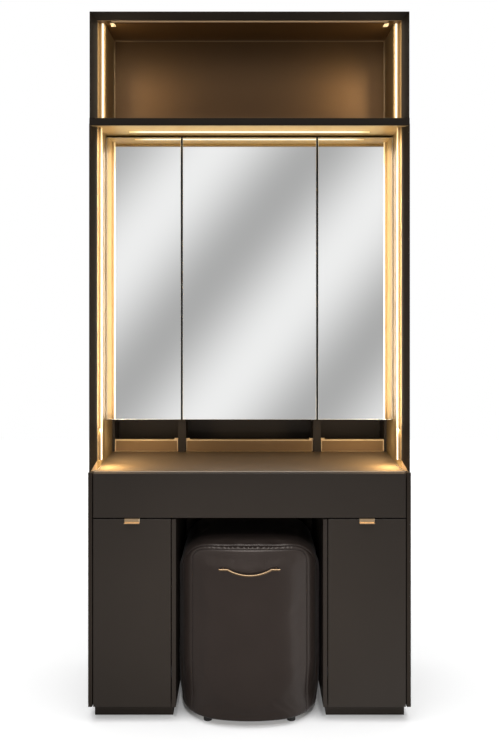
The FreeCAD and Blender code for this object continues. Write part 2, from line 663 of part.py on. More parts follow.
def cubby():
    """The mitred top box with its linings, back panel, bead and ceiling bar."""
    start = f"({FRONT} + cubby_back)"
    panel_y = f"({FRONT} + cubby_panel_back)"
    mitres = {}
    for side in SIDES:
        k = sign(side)
        corners = [
            (f"{k} * {HALF}", start), (f"{k} * {HALF}", BACK), (f"{k} * {WALL}", BACK),
            (f"{k} * {WALL}", f"{start} + bevel_depth"), (f"{k} * ({HALF} - bevel_flat)", start),
        ]
        upright = extruded(f"cubby_{side}_upright", "XY_Plane", corners, SHELF_TOP, TOP)
        over = extruded(f"{side}_mitre_over", "XZ_Plane",
                        [(f"{k} * {WALL}", CEILING), (f"{k} * {HALF}", TOP), (f"{k} * {WALL}", TOP)],
                        start, BACK)
        mitres[side] = extruded(
            f"{side}_mitre_under", "XZ_Plane",
            [(f"{k} * {WALL}", CEILING), (f"{k} * {HALF}", TOP), (f"{k} * {HALF}", CEILING)], start, BACK)
        node(f"cubby_{side}_side", cut(f"cubby_{side}_side", upright, over))
    lid = extruded("cubby_lid", "YZ_Plane",
                   [(start, TOP), (BACK, TOP), (BACK, CEILING), (f"{start} + bevel_depth", CEILING),
                    (start, f"{TOP} - bevel_flat")], f"-{HALF}", HALF)
    node("cubby_top", cut("cubby_top", lid, *mitres.values()))
    node("cubby_back_panel", block("cubby_back_panel", both(WALL), (panel_y, f"{panel_y} + cubby_panel"),
                                   (SHELF_TOP, CEILING)))
    linings = []
    lining_front = f"({start} + lining_setback)"
    for side in SIDES:
        board = block(f"{side}_lining_board", span(side, f"{WALL} - lining_thick", WALL),
                      (lining_front, panel_y), (SHELF_TOP, CEILING))
        groove = light(f"cubby_{side}_light", "z", (SHELF_TOP, CEILING), ("y", lining_front),
                       f"({sign(side)} * ({WALL} - lining_thick + cubby_light_inset))", (180, "1"))
        linings.append(cut(f"{side}_lining", board, groove))
    node("cubby_linings", group("cubby_linings", *linings))
    clear = f"({WALL} - lining_thick)"
    bead_y = (f"{panel_y} - bead", panel_y)
    beads = [block(f"{side}_bead", span(side, f"{clear} - bead", clear), bead_y, (SHELF_TOP, CEILING))
             for side in SIDES]
    for label, z in (("lower_bead", (SHELF_TOP, f"{SHELF_TOP} + bead")),
                     ("upper_bead", (f"{CEILING} - bead", CEILING))):
        beads.append(block(label, both(f"{clear} - bead"), bead_y, z))
    node("cubby_bead", group("cubby_bead", *beads))
    bar_y = f"({start} + ceiling_bar_setback)"
    bar_low = f"({CEILING} - ceiling_bar_height)"
    start_of_clip = f"({bar_y} + ceiling_bar_width + bar_clip_gap)"
    half_bar = f"({WALL} - ceiling_bar_inset)"
    node("ceiling_bar", block("ceiling_bar", both(half_bar), (bar_y, f"{bar_y} + ceiling_bar_width"),
                              (bar_low, CEILING)))
    clips = [block(f"{side}_bar_clip", span(side, f"{half_bar} - bar_clip_width / 2",
                                            f"{half_bar} + bar_clip_width / 2"),
                   (start_of_clip, f"{start_of_clip} + bar_clip_length"), (bar_low, CEILING))
             for side in SIDES]
    node("ceiling_clips", group("ceiling_clips", *clips))


def service_space():
    """The rear cover of the space behind the cubby, its grommet and the light driver."""
    place = {"x": "grommet_offset", "z": f"{SHELF_TOP} + grommet_level"}
    sheet = block("service_sheet", both(WALL), (INSIDE_BACK, BACK), (SHELF_TOP, CEILING))
    hole = rod("service_hole", "grommet_radius + grommet_fit", "y", INSIDE_BACK, BACK, place)
    node("service_cover", cut("service_cover", sheet, hole))
    sleeve = rod("grommet_sleeve", "grommet_radius", "y", INSIDE_BACK, BACK, place)
    flange = rod("grommet_flange_disc", "grommet_radius + grommet_flange", "y",
                 f"{INSIDE_BACK} - grommet_flange", INSIDE_BACK, place)
    ring = fused("grommet_ring", sleeve, flange)
    bore = rod("grommet_bore_tool", "grommet_bore", "y", f"{INSIDE_BACK} - grommet_flange", BACK, place)
    node("cable_grommet", cut("cable_grommet", ring, bore))
    far = f"({INSIDE_BACK} - driver_gap)"
    node("light_driver", block("light_driver", ("-driver_offset - driver_length", "-driver_offset"),
                               (f"{far} - driver_width", far), (SHELF_TOP, f"{SHELF_TOP} + driver_height")))


def stool_top():
    """The height of the seat's crown, which passes under the drawer deck."""
    return size("desk_height") - sum(size(drop) for drop in DECK_DROPS) - size("stool_headroom")


def stool_outline(level, inset_x=0.0, inset_y=0.0, share=1.0):
    """The bow-fronted plan of the stool at a level, drawn in at the sides and ends, about its middle."""
    half = (size("stool_width") / 2 - inset_x) * share
    deep = (size("stool_depth") / 2 - inset_y) * share
    bow = size("stool_front_radius") * share
    centre_y = size("stool_side_flat") * share
    rise = centre_y + bow - deep
    corner = (bow ** 2 - half ** 2 - rise ** 2) / (2 * (bow - half))
    centre_x = half - corner
    reach = math.atan2(rise, centre_x)
    joint = Vector(math.cos(reach), math.sin(reach), 0) * bow + Vector(0, deep - bow, 0)
    middle = Vector(math.cos(reach / 2), math.sin(reach / 2), 0) * corner + Vector(centre_x, centre_y, 0)
    side = Vector(half, centre_y, 0)

    def at(point, flip_x, flip_y):
        return Vector(point.x * flip_x, point.y * flip_y, level)

    edges = []
    for flip in (-1, 1):
        edges += [
            Part.Arc(at(joint, -flip, flip), Vector(0, deep * flip, level), at(joint, flip, flip)),
            Part.Arc(at(joint, flip, flip), at(middle, flip, flip), at(side, flip, flip)),
            Part.LineSegment(at(side, flip, flip), at(side, flip, -flip)),
            Part.Arc(at(side, flip, -flip), at(middle, flip, -flip), at(joint, flip, -flip)),
        ]
    return Part.Wire(Part.sortEdges([edge.toShape() for edge in edges])[0])


def stool_sections():
    """Outlines up the padded body: drawn-in foot, upright sides, round shoulders, crowned top."""
    low = size("foot_height")
    foot, shoulder, edge = size("stool_foot_draw"), size("stool_shoulder"), size("stool_edge")
    spring = stool_top() - size("stool_crown")
    sections = [stool_outline(low, foot, foot), stool_outline(low + 2 * foot)]
    shoulder_steps = 5
    for step in range(shoulder_steps):
        rise = math.sin(math.pi / 2 * step / shoulder_steps)
        level = spring - shoulder + shoulder * rise
        past_edge = max(0.0, level - (spring - edge)) / edge
        sections.append(stool_outline(level, shoulder * (1 - math.sqrt(1 - rise ** 2)),
                                      edge * (1 - math.sqrt(1 - past_edge ** 2))))
    rim = (shoulder * CROWN_RIM, edge * CROWN_RIM)
    for share in CROWN_SHARES:
        level = spring + size("stool_crown") * (1 - share ** 2)
        sections.append(stool_outline(level, *rim, share))
    return sections


def stool_block(inset, low, high):
    """The stool's plan drawn in all round, as an upright block between two levels."""
    return Part.Face(stool_outline(low, inset, inset)).extrude(Vector(0, 0, high - low))


def place_on_stool(piece):
    """Set a piece that is modelled about the stool's middle where the stool stands."""
    piece.setExpression("Placement.Base.y", formula(f"{STOOL_FRONT} + stool_depth / 2"))
    return piece


def stool():
    """The upholstered stool: padded cover, hollow carcass, feet and bow handle."""
    low, high = size("foot_height"), stool_top() - size("stool_seat_padding")
    inset, board = size("stool_padding"), size("stool_board")
    pad = doc.addObject("Part::Feature", "stool_upholstery")
    hollow = stool_block(inset - size("stool_cover_play"), low, high)
    pad.Shape = Part.makeLoft(stool_sections(), True, True).cut(hollow)
    node("stool_upholstery", place_on_stool(pad))
    frame = []
    for name, level in (("stool_floor_board", low), ("stool_seat_board", high - board)):
        piece = doc.addObject("Part::Feature", name)
        piece.Shape = stool_block(inset, level, level + board)
        frame.append(place_on_stool(piece))
    post_z = ("foot_height + stool_board", f"{STOOL_TOP} - stool_seat_padding - stool_board")
    for side in SIDES:
        x = span(side, "stool_post_spread - stool_post / 2", "stool_post_spread + stool_post / 2")
        for end, middle in (("front", f"{STOOL_FRONT} + stool_post_inset"),
                            ("rear", f"{STOOL_FRONT} + stool_depth - stool_post_inset")):
            frame.append(block(f"{side}_{end}_stool_post", x,
                               (f"{middle} - stool_post / 2", f"{middle} + stool_post / 2"), post_z))
    node("stool_carcass", group("stool_carcass", *frame))
    feet = []
    for side in SIDES:
        for end, y in (("front", f"{STOOL_FRONT} + foot_inset"),
                       ("rear", f"{STOOL_FRONT} + stool_depth - foot_inset")):
            feet.append(rod(f"{side}_{end}_foot", "foot_radius", "z", "0", "foot_height",
                            {"x": f"{sign(side)} * foot_spread", "y": y}))
    node("stool_feet", group("stool_feet", *feet))
    node("stool_handle", place_on_stool(stool_handle()))


def stool_handle():
    """A round bar bent to a bow between two straight ends, with a stem behind each end."""
    half = size("handle_span") / 2
    arc_half = half - size("handle_end")
    end_y = -size("stool_depth") / 2 - size("handle_stand")
    lean = Vector(0, -size("handle_bow"), -size("handle_sag"))
    sag = lean.Length
    lean.normalize()
    turn = 2 * math.atan2(sag, arc_half)
    bend = size("handle_bend")
    level = stool_top() - size("handle_drop")

    def at(across, down):
        return Vector(across, end_y, level) + lean * down

    def bent(angle):
        return arc_half - bend * math.sin(angle), bend * (1 - math.cos(angle))

    half_turn, full_turn = bent(turn / 2), bent(turn)
    left = [at(-across, down) for across, down in ((half, 0), (arc_half, 0), half_turn, full_turn)]
    right = [at(across, down) for across, down in (full_turn, half_turn, (arc_half, 0), (half, 0))]
    path = Part.Wire([
        Part.LineSegment(left[0], left[1]).toShape(), Part.Arc(*left[1:]).toShape(),
        Part.Arc(left[3], at(0, sag), right[0]).toShape(),
        Part.Arc(*right[:3]).toShape(), Part.LineSegment(right[2], right[3]).toShape(),
    ])
    section = Part.Wire(Part.Circle(left[0], Vector(1, 0, 0), size("handle_bar")).toShape())
    bar = path.makePipeShell([section], True, False)
    stem_x = half - size("handle_end") / 2
    bow_radius = size("stool_front_radius")
    behind = bow_radius - math.sqrt(bow_radius ** 2 - stem_x ** 2)
    for x in (-stem_x, stem_x):
        stem = Part.makeCylinder(size("handle_stem"), size("handle_stand") + behind,
                                 Vector(x, end_y, level), Vector(0, 1, 0))
        bar = bar.fuse(stem)
    handle = doc.addObject("Part::Feature", "stool_handle")
    handle.Shape = bar.removeSplitter()
    return handle


base_carcass()
slide_channels = vanity_drawer()
for pullout_side in SIDES:
    slide_channels += pullout(pullout_side)
node("slide_channels", group("slide_channels", *slide_channels))
hutch()
cubby()
for kind, pieces_of_kind in lights.items():
    node(kind, group(kind, *pieces_of_kind))
mirrors()
service_space()
stool()
doc.recompute()

faults = [item.Name for item in doc.Objects if "Invalid" in item.State or "Error" in item.State]
faults += [piece.Label for piece in subparts if piece.Shape.isNull() or not piece.Shape.isValid()]
if faults:
    raise RuntimeError(f"failed objects: {faults}")
os.makedirs("parts", exist_ok=True)
for piece in subparts:
    piece.Shape.exportStep(f"parts/{piece.Label}.step")
box = FreeCAD.BoundBox()
for piece in subparts:
    box.add(piece.Shape.BoundBox)
print(f"{len(subparts)} pieces, X {box.XMin:.2f} {box.XMax:.2f}, Y {box.YMin:.2f} {box.YMax:.2f}, "
      f"Z {box.ZMin:.2f} {box.ZMax:.2f}")
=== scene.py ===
import json
import math

import bmesh
import bpy
import numpy as np
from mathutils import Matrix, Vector
from mathutils.bvhtree import BVHTree
from mathutils.kdtree import KDTree


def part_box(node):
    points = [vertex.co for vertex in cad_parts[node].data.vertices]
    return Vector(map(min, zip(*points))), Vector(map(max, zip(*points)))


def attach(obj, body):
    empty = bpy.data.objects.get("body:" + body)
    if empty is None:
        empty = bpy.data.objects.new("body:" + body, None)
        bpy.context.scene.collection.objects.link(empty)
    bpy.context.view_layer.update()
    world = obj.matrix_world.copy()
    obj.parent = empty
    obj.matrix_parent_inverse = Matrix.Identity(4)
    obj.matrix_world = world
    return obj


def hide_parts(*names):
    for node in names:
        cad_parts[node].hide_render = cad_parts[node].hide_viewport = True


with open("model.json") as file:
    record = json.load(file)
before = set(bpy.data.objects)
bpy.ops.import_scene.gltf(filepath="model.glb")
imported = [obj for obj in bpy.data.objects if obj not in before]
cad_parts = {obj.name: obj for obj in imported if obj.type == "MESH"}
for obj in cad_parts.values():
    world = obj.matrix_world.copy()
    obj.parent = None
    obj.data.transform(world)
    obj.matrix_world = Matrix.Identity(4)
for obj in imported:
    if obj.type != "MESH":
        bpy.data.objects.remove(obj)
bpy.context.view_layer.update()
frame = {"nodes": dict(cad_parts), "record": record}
scene = bpy.context.scene
scene.view_settings.view_transform = "Standard"

# Places read from the solids, in metres
TABLE_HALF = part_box("hutch_shelf")[1].x
TABLE_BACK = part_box("hutch_back")[1].y
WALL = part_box("hutch_back")[1].x
SHELF_LIP, SHELF_TOP = (corner.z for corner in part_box("hutch_shelf"))
SHELF_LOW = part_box("hutch_left_side")[1].z
CUBBY_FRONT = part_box("cubby_top")[0].y
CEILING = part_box("cubby_back_panel")[1].z
DESK_FRONT, DESK_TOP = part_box("desktop")[0].y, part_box("desktop")[1].z
MIRROR_HALF, MIRROR_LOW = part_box("middle_mirror_glass")[1].x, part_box("middle_mirror_glass")[0].z
RAIL_END, RAIL_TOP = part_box("niche_rails")[1].x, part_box("niche_rails")[1].z
STOOL_LOW, STOOL_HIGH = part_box("stool_upholstery")

# Insets of the light rods and bronze faces, and the slack when a face is picked by its place
SHELF_LIGHT_INSET, CUBBY_LIGHT_INSET = 0.086, 0.0115
BRONZE_SETBACK, RAIL_GAP, SKIN = 0.034, 0.026, 0.0004
SHELF_LIGHT_END, CUBBY_LIGHT = WALL - SHELF_LIGHT_INSET, WALL - CUBBY_LIGHT_INSET
WALL_BRONZE = CUBBY_FRONT + BRONZE_SETBACK
RAIL_ENDS = (MIRROR_HALF, MIRROR_HALF + RAIL_GAP, RAIL_END)


# Shaders
class Value:
    """One output of a shader node; sums on it add Math nodes."""

    def __init__(self, shader, socket):
        self.shader = shader
        self.socket = socket

    def maths(self, operation, *terms):
        return self.shader.node("ShaderNodeMath", {"operation": operation}, dict(enumerate(terms)))

    def __add__(self, other):
        return self.maths("ADD", self, other)

    def __radd__(self, other):
        return self.maths("ADD", other, self)

    def __sub__(self, other):
        return self.maths("SUBTRACT", self, other)

    def __rsub__(self, other):
        return self.maths("SUBTRACT", other, self)

    def __mul__(self, other):
        return self.maths("MULTIPLY", self, other)

    def __rmul__(self, other):
        return self.maths("MULTIPLY", other, self)

    def __truediv__(self, other):
        return self.maths("DIVIDE", self, other)

    def __abs__(self):
        return self.maths("ABSOLUTE", self)

    def __lt__(self, other):
        return self.maths("LESS_THAN", self, other)

    def __gt__(self, other):
        return self.maths("GREATER_THAN", self, other)

    def most(self, other):
        return self.maths("MAXIMUM", self, other)

    def least(self, other):
        return self.maths("MINIMUM", self, other)


class Shader:
    """A node tree that nodes are added to by type, settings and inputs."""

    SQUARE_ON = 0.9

    def __init__(self, tree):
        self.tree = tree
        tree.nodes.clear()

    def node(self, kind, settings=(), inputs=(), output=0):
        made = self.tree.nodes.new(kind)
        for name, setting in dict(settings).items():
            setattr(made, name, setting)
        for name, value in dict(inputs).items():
            if isinstance(value, Value):
                self.tree.links.new(value.socket, made.inputs[name])
            else:
                made.inputs[name].default_value = value
        return Value(self, made.outputs[output]) if made.outputs else made

    def mix(self, share, first, second):
        """A colour between two others."""
        first, second = (value if isinstance(value, Value) else (*value, 1.0) for value in (first, second))
        return self.node("ShaderNodeMix", {"data_type": "RGBA"}, {0: share, 6: first, 7: second}, output=2)

    def split(self, vector):
        return [self.node("ShaderNodeSeparateXYZ", (), {0: vector}, output=axis) for axis in range(3)]

    def place(self):
        """The point on the piece, as the table stands with everything shut."""
        return self.node("ShaderNodeTexCoord", output="Object")

    def slanting(self):
        """One on faces that look along none of the axes, such as chamfers; nought elsewhere."""
        x, y, z = self.split(self.node("ShaderNodeTexCoord", output="Normal"))
        return abs(x).most(abs(y)).most(abs(z)) < self.SQUARE_ON

    def ramp(self, value, low, high):
        """Nought at low, one at high and a soft step between; low may be the greater."""
        return self.node("ShaderNodeMapRange", {"interpolation_type": "SMOOTHSTEP"},
                         {"Value": value, "From Min": low, "From Max": high, "To Min": 0.0, "To Max": 1.0})

    def noise(self, point, scale, detail=2.0, stretch=None):
        """Soft random values about one half; stretch scales the point along each axis."""
        if stretch:
            point = self.node("ShaderNodeVectorMath", {"operation": "MULTIPLY"}, {0: point, 1: stretch})
        return self.node("ShaderNodeTexNoise", (), {"Vector": point, "Scale": scale, "Detail": detail})

    def bump(self, height, strength, distance):
        return self.node("ShaderNodeBump", (),
                         {"Height": height, "Strength": strength, "Distance": distance})

    def surface(self, **inputs):
        """Close the tree with one principled surface; underscores are spaces in the sockets' names."""
        sockets = {name.replace("_", " "): value for name, value in inputs.items()}
        principled = self.node("ShaderNodeBsdfPrincipled", (), sockets)
        self.node("ShaderNodeOutputMaterial", (), {"Surface": principled})


def finish(name):
    """A new material and the shader that draws it."""
    material = bpy.data.materials.new(name)
    material.use_nodes = True
    return material, Shader(material.node_tree)


# Finishes
ESPRESSO = ((0.0200, 0.0154, 0.0120), (0.0255, 0.0198, 0.0157))
# Painted warm light: a warmer copy of the espresso lacquer for the hutch and cubby sides beside the lit
# channels
WARM_LIT_ESPRESSO = ((0.0248, 0.0178, 0.0122), (0.0316, 0.0229, 0.0160))
# Painted shade: a darker copy of the espresso lacquer for the shelf
SHADED_ESPRESSO = ((0.0130, 0.0088, 0.0055), (0.0170, 0.0116, 0.0075))
BRONZE = ((0.246, 0.158, 0.069), (0.272, 0.176, 0.079))
# Painted shade: darker copies of the bronze lacquer for the cubby's back panel and its lid, and the deep
# bronze that the back panel's painted top shade runs to
SHADED_BACK_BRONZE = ((0.126, 0.070, 0.032), (0.156, 0.088, 0.042))
SHADED_BRONZE = ((0.070, 0.033, 0.009), (0.088, 0.042, 0.013))
TOP_SHADE_BRONZE = (0.050, 0.026, 0.008)
RAIL_BRONZE = ((0.175, 0.101, 0.045), (0.235, 0.138, 0.065))
DESK_BRONZE = ((0.126, 0.080, 0.041), (0.158, 0.102, 0.054))
# Painted highlight: the paler colours that the chamfers of the desk and of the other bronze lacquer take
DESK_EDGE_HIGHLIGHT = (0.145, 0.125, 0.105)
HIGHLIGHT_BRONZE = (0.78, 0.55, 0.32)
# Paler colour for the solid bronze's chamfers
PALE_EDGE_BRONZE = (0.98, 0.74, 0.48)
SATIN_BRONZE = ((0.68, 0.468, 0.270), (0.84, 0.600, 0.365))
BEAD_BRONZE = ((0.30, 0.205, 0.115), (0.38, 0.265, 0.155))
BEAD_EDGE = (0.40, 0.29, 0.18)
HANDLE_BRONZE = ((0.20, 0.128, 0.070), (0.28, 0.186, 0.106))
HANDLE_EDGE = (0.36, 0.245, 0.145)
WARM_WHITE = (1.0, 0.91, 0.72)
AMBER_WHITE = (1.0, 0.83, 0.52)
YELLOW_WHITE = (1.0, 0.90, 0.48)
WHITE = (1.0, 1.0, 1.0)
BLACK = (0.0, 0.0, 0.0)


def panel_finish(name, metallic_faces=None, bronze=BRONZE, highlight_edges=None, chamfer=HIGHLIGHT_BRONZE,
                 board=ESPRESSO, painted_shade=None, gloss=0.22, clear_coat=0.0):
    """Matte board lacquer; from x, y and z, metallic_faces picks what is bronze lacquer instead.
    Its chamfers, and the edges that the edge mask picks, take the chamfers' colour as a painted
    highlight, and the shade function says how far painted shade darkens it. The clear coat lies on the
    bronze only."""
    material, shader = finish(name)
    point = shader.place()
    cloud = shader.noise(point, 3.0, 3.0)
    tooth = shader.noise(point, 1400.0, 1.0)
    colour = shader.mix(cloud, *board)
    rough = 0.42 + 0.10 * tooth + 0.06 * cloud
    metal = coat = 0.0
    if metallic_faces:
        place = shader.split(point)
        share = metallic_faces(*place)
        bright = shader.slanting().most(highlight_edges(*place)) if highlight_edges else shader.slanting()
        flake = shader.noise(point, 2200.0, 1.0)
        drawn = shader.noise(point, 9.0, 4.0, (1.0, 5.0, 1.0))
        lacquer = shader.mix(0.65 * drawn + 0.35 * flake, *bronze)
        # Painted shade: the bronze darkens towards a deep bronze as far as the shade function says
        if painted_shade:
            lacquer = shader.mix(painted_shade(shader, *place), lacquer, TOP_SHADE_BRONZE)
        # Painted highlight: chamfers and the picked edges take the paler chamfer colour
        lacquer = shader.mix(bright, lacquer, chamfer)
        colour = shader.mix(share, colour, lacquer)
        rough = rough - share * (0.10 - 0.02 * drawn)
        metal = 0.4 * share
        coat = clear_coat * share
    shader.surface(Base_Color=colour, Roughness=rough, Metallic=metal, Specular_IOR_Level=gloss,
                   Coat_Weight=coat, Coat_Roughness=0.58, Normal=shader.bump(tooth, 0.05, 0.0004))
    return material


def satin_bronze(name, colours=SATIN_BRONZE, edge=PALE_EDGE_BRONZE, rough=0.26):
    """Solid bronze, drawn lengthwise and rubbed to a satin, with its chamfers paler."""
    material, shader = finish(name)
    point = shader.place()
    drawn = shader.noise(point, 60.0, 3.0, (1.0, 30.0, 30.0))
    haze = shader.noise(point, 25.0, 2.0)
    colour = shader.mix(drawn, *colours)
    shader.surface(Base_Color=shader.mix(shader.slanting(), colour, edge), Metallic=1.0,
                   Roughness=rough + 0.10 * haze, Normal=shader.bump(drawn, 0.06, 0.0003))
    return material


def mirror_silver():
    """Silvered glass with a breath of haze; its chamfers are ground and pale."""
    material, shader = finish("mirror_silver")
    haze = shader.noise(shader.place(), 4.0, 3.0)
    ground = shader.slanting()
    silver = shader.mix(haze, (0.925, 0.930, 0.930), (0.940, 0.945, 0.940))
    shader.surface(Base_Color=shader.mix(ground, silver, (0.90, 0.90, 0.88)), Metallic=1.0 - ground,
                   Roughness=0.004 + 0.008 * haze + 0.3 * ground)
    return material


def rolled_metal(name, dark, pale, rough, metallic=1.0):
    """Rolled sheet metal with lengthwise marks."""
    material, shader = finish(name)
    rolled = shader.noise(shader.place(), 50.0, 4.0, (20.0, 1.0, 20.0))
    shader.surface(Base_Color=shader.mix(rolled, dark, pale), Metallic=metallic,
                   Roughness=rough + 0.12 * rolled, Normal=shader.bump(rolled, 0.05, 0.0003))
    return material


def opal_light():
    """Opal rods, lit warm white: the shelf's fades at its ends, the hutch sides' at the top, and the
    cubby's are brightest along the middle."""
    rod_slack, shelf_fade, cubby_rim, cubby_core = 0.01, 0.05, 0.0036, 0.0012
    hutch_dim, hutch_full = SHELF_LOW - 0.060, SHELF_LOW - 0.130
    material, shader = finish("opal_light")
    point = shader.place()
    grain = shader.noise(point, 300.0, 2.0)
    x, _, z = shader.split(point)
    across = abs(x)
    on_shelf = across < SHELF_LIGHT_END + rod_slack
    in_cubby = z > SHELF_TOP - SKIN
    shelf_lit = shader.ramp(across, SHELF_LIGHT_END, SHELF_LIGHT_END - shelf_fade)
    cubby_lit = shader.ramp(abs(across - CUBBY_LIGHT), cubby_rim, cubby_core)
    hutch_lit = shader.ramp(z, hutch_dim, hutch_full)
    upright_lit = in_cubby * cubby_lit + (1.0 - in_cubby) * hutch_lit
    lit = on_shelf * shelf_lit + (1.0 - on_shelf) * upright_lit
    shader.surface(Base_Color=shader.mix(grain, (0.25, 0.21, 0.15), (0.31, 0.26, 0.19)), Roughness=0.5,
                   Emission_Color=shader.mix(lit, (0.50, 0.31, 0.12), (1.0, 0.93, 0.76)),
                   Emission_Strength=1.1)
    return material


def light_tape():
    """White tape with a row of yellow light chips."""
    half_pitch, half_chip = 0.004, 0.0016
    material, shader = finish("light_tape")
    x, _, z = shader.split(shader.place())
    along = abs(x) + z
    chip = along.maths("PINGPONG", along, half_pitch) < half_chip
    shader.surface(Base_Color=shader.mix(chip, (0.82, 0.81, 0.78), (0.80, 0.62, 0.16)), Roughness=0.45)
    return material


def birch_plywood():
    """Birch plywood, sealed, for the boxes behind the fronts."""
    material, shader = finish("birch_plywood")
    point = shader.place()
    grain = shader.noise(point, 14.0, 6.0, (6.0, 0.6, 6.0))
    pore = shader.noise(point, 420.0, 2.0, (1.0, 0.06, 1.0))
    colour = shader.mix(grain, (0.40, 0.265, 0.145), (0.60, 0.445, 0.285))
    shader.surface(Base_Color=shader.mix(0.35 * pore, colour, (0.30, 0.19, 0.10)),
                   Roughness=0.48 + 0.12 * pore, Normal=shader.bump(pore, 0.12, 0.0004))
    return material


def moulded_plastic():
    """Black plastic with a fine eroded texture."""
    material, shader = finish("moulded_plastic")
    spark = shader.noise(shader.place(), 1100.0, 2.0)
    shader.surface(Base_Color=shader.mix(spark, (0.014, 0.013, 0.012), (0.026, 0.025, 0.024)),
                   Roughness=0.5 + 0.15 * spark, Normal=shader.bump(spark, 0.25, 0.0003))
    return material


def stool_leather():
    """Dark brown leather: pebbled grain, creases and a waxy sheen."""
    material, shader = finish("stool_leather")
    point = shader.place()
    pebble = shader.node("ShaderNodeTexVoronoi", {"feature": "DISTANCE_TO_EDGE"},
                         {"Vector": point, "Scale": 480.0})
    crease = shader.noise(point, 160.0, 4.0)
    cloud = shader.noise(point, 9.0, 3.0)
    colour = shader.mix(cloud, (0.0142, 0.0100, 0.0083), (0.0210, 0.0150, 0.0127))
    colour = shader.mix(0.35 * crease, colour, (0.0130, 0.0094, 0.0080))
    shader.surface(Base_Color=colour, Roughness=0.24 + 0.14 * crease + 0.06 * cloud,
                   Specular_IOR_Level=0.4, Specular_Tint=(1.0, 0.90, 0.84, 1.0),
                   Sheen_Weight=0.02, Sheen_Roughness=0.4,
                   Normal=shader.bump(pebble.least(0.35) + 0.4 * crease, 0.30, 0.0006))
    return material


def stitch_thread():
    """Waxed brown thread."""
    material, shader = finish("stitch_thread")
    twist = shader.noise(shader.place(), 900.0, 2.0)
    shader.surface(Base_Color=shader.mix(twist, (0.010, 0.008, 0.007), (0.020, 0.016, 0.014)),
                   Roughness=0.45 + 0.1 * twist, Normal=shader.bump(twist, 0.2, 0.0003))
    return material


